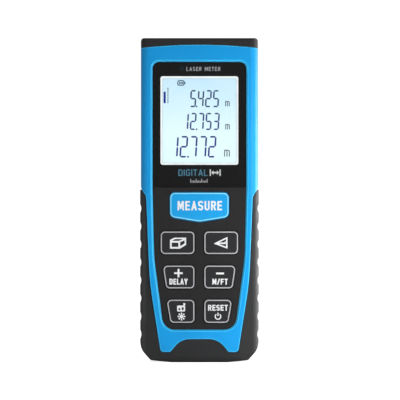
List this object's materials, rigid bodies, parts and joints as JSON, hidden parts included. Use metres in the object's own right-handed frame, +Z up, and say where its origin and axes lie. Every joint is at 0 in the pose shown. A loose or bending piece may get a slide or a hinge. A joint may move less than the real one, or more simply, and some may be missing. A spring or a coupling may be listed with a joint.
{
  "type": "laser distance meter",
  "caption": "Handheld laser distance meter with a lit display, rubber grip, sprung keys and a hinged battery door.",
  "frame": {"origin": "middle of the flat bottom face, which is the rear measuring datum", "axes": "+Z up along the length towards the laser end, display facing -Y, +X to the right of the display"},
  "size_m": [0.0432, 0.026, 0.118],
  "materials": {
    "blue_plastic": "satin moulded",
    "black_plastic": "fine textured",
    "grip_rubber": "matte moulded",
    "clear_lens": "polished",
    "mask_ink": "gloss print behind the lens",
    "keypad_plastic": "fine matte",
    "key_black": "satin",
    "key_blue": "satin",
    "silicone": "matte",
    "dome_steel": "bright",
    "board": "solder mask",
    "foam": "foam",
    "lcd": "lit display",
    "light_guide": "diffusing",
    "casting": "as cast",
    "brass": "turned",
    "can_metal": "plated",
    "tin": "tinned",
    "cell_jacket": "printed jacket",
    "contact_metal": "nickel plated",
    "screw_steel": "zinc plated",
    "label_film": "silver film",
    "chip_black": "moulded epoxy",
    "chip_ceramic": "sintered"
  },
  "bodies": {
    "housing": {"front_case": "blue_plastic", "rear_case": "black_plastic", "grip_overmould": "grip_rubber", "nose_cap": "black_plastic", "emitter_window": "clear_lens", "receiver_window": "clear_lens", "display_lens": "clear_lens", "display_mask": "mask_ink", "keypad_panel": "keypad_plastic", "keypad_mat": "silicone", "key_domes": "dome_steel", "main_board": "board", "lcd_gasket": "foam", "lcd_cell": "lcd", "lcd_backlight": "light_guide", "lcd_contact_strip": "silicone", "optical_block": "casting", "laser_tube": "brass", "collimator_lens": "clear_lens", "receiver_lens": "clear_lens", "laser_diode": "can_metal", "detector_board": "board", "detector_diode": "can_metal", "battery_cell_left": "cell_jacket", "battery_cell_right": "cell_jacket", "contact_bridge": "contact_metal", "contact_positive": "contact_metal", "contact_negative": "contact_metal", "case_screws": "screw_steel", "block_screws": "screw_steel", "rear_label": "label_film", "processor": "chip_black", "chip_components": "chip_ceramic", "crystal": "can_metal", "buzzer": "chip_black", "shield_can": "tin"},
    "key_measure": {"key_measure": "key_blue"},
    "key_area": {"key_area": "key_black"},
    "key_indirect": {"key_indirect": "key_black"},
    "key_plus": {"key_plus": "key_black"},
    "key_minus": {"key_minus": "key_black"},
    "key_reference": {"key_reference": "key_black"},
    "key_clear": {"key_clear": "key_black"},
    "battery_door": {"battery_door": "black_plastic", "door_pad": "foam"}
  },
  "joints": [
    {"name": "key_measure_press", "type": "slide", "parent": "housing", "child": "key_measure", "axis": [0, 1, 0], "range_m": [0, 0.0004], "stiffness_N_per_m": 900},
    {"name": "key_area_press", "type": "slide", "parent": "housing", "child": "key_area", "axis": [0, 1, 0], "range_m": [0, 0.0004], "stiffness_N_per_m": 800},
    {"name": "key_indirect_press", "type": "slide", "parent": "housing", "child": "key_indirect", "axis": [0, 1, 0], "range_m": [0, 0.0004], "stiffness_N_per_m": 800},
    {"name": "key_plus_press", "type": "slide", "parent": "housing", "child": "key_plus", "axis": [0, 1, 0], "range_m": [0, 0.0004], "stiffness_N_per_m": 800},
    {"name": "key_minus_press", "type": "slide", "parent": "housing", "child": "key_minus", "axis": [0, 1, 0], "range_m": [0, 0.0004], "stiffness_N_per_m": 800},
    {"name": "key_reference_press", "type": "slide", "parent": "housing", "child": "key_reference", "axis": [0, 1, 0], "range_m": [0, 0.0004], "stiffness_N_per_m": 800},
    {"name": "key_clear_press", "type": "slide", "parent": "housing", "child": "key_clear", "axis": [0, 1, 0], "range_m": [0, 0.0004], "stiffness_N_per_m": 800},
    {"name": "battery_door_hinge", "type": "hinge", "parent": "housing", "child": "battery_door", "pos_m": [0, 0.0114, 0.0126], "axis": [-1, 0, 0], "range_deg": [0, 90]}
  ]
}
